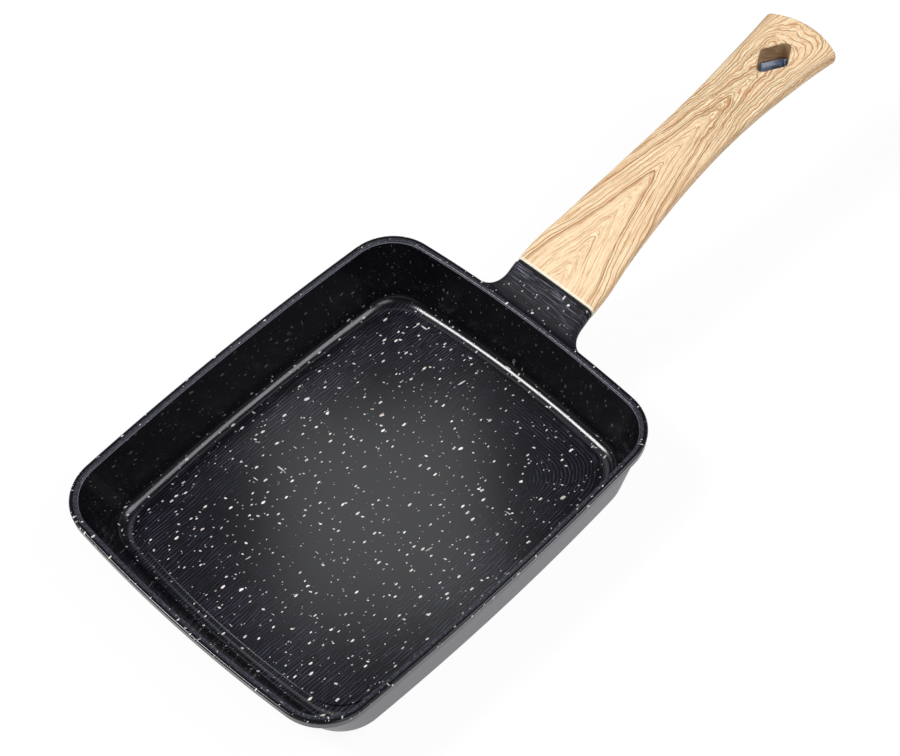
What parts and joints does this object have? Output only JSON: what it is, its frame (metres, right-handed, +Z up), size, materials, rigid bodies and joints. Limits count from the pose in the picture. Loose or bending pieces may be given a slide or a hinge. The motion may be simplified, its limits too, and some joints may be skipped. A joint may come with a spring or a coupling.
{
  "type": "tamagoyaki pan",
  "caption": "Rectangular rolled-omelette pan: speckled non-stick cast aluminium vessel with a cast neck and a wood-look handle with a hanging hole",
  "frame": {"origin": "on the flat base, under the middle of the rim", "axes": "+Z is up, +Y runs from the vessel to the handle's tail, and +X is to the right of someone looking along +Y"},
  "size_m": [0.1474, 0.3409, 0.063],
  "materials": {
    "speckled_coating": "cast aluminium under a charcoal non-stick coating with white and cream specks, satin",
    "base_steel": "perforated steel, fine brushed",
    "black_seal": "black heat-proof seal, matt",
    "wood_look_plastic": "moulded handle with a light oak grain transfer, satin",
    "eyelet_steel": "pressed steel, satin",
    "fastener_steel": "zinc-bright steel"
  },
  "bodies": {
    "root": {"pan_body": "speckled_coating", "induction_plate": "base_steel", "neck_gasket": "black_seal", "handle": "wood_look_plastic", "hanging_eyelet": "eyelet_steel", "handle_screw": "fastener_steel", "spring_washer": "fastener_steel", "flat_washer": "fastener_steel"}
  },
  "joints": []
}
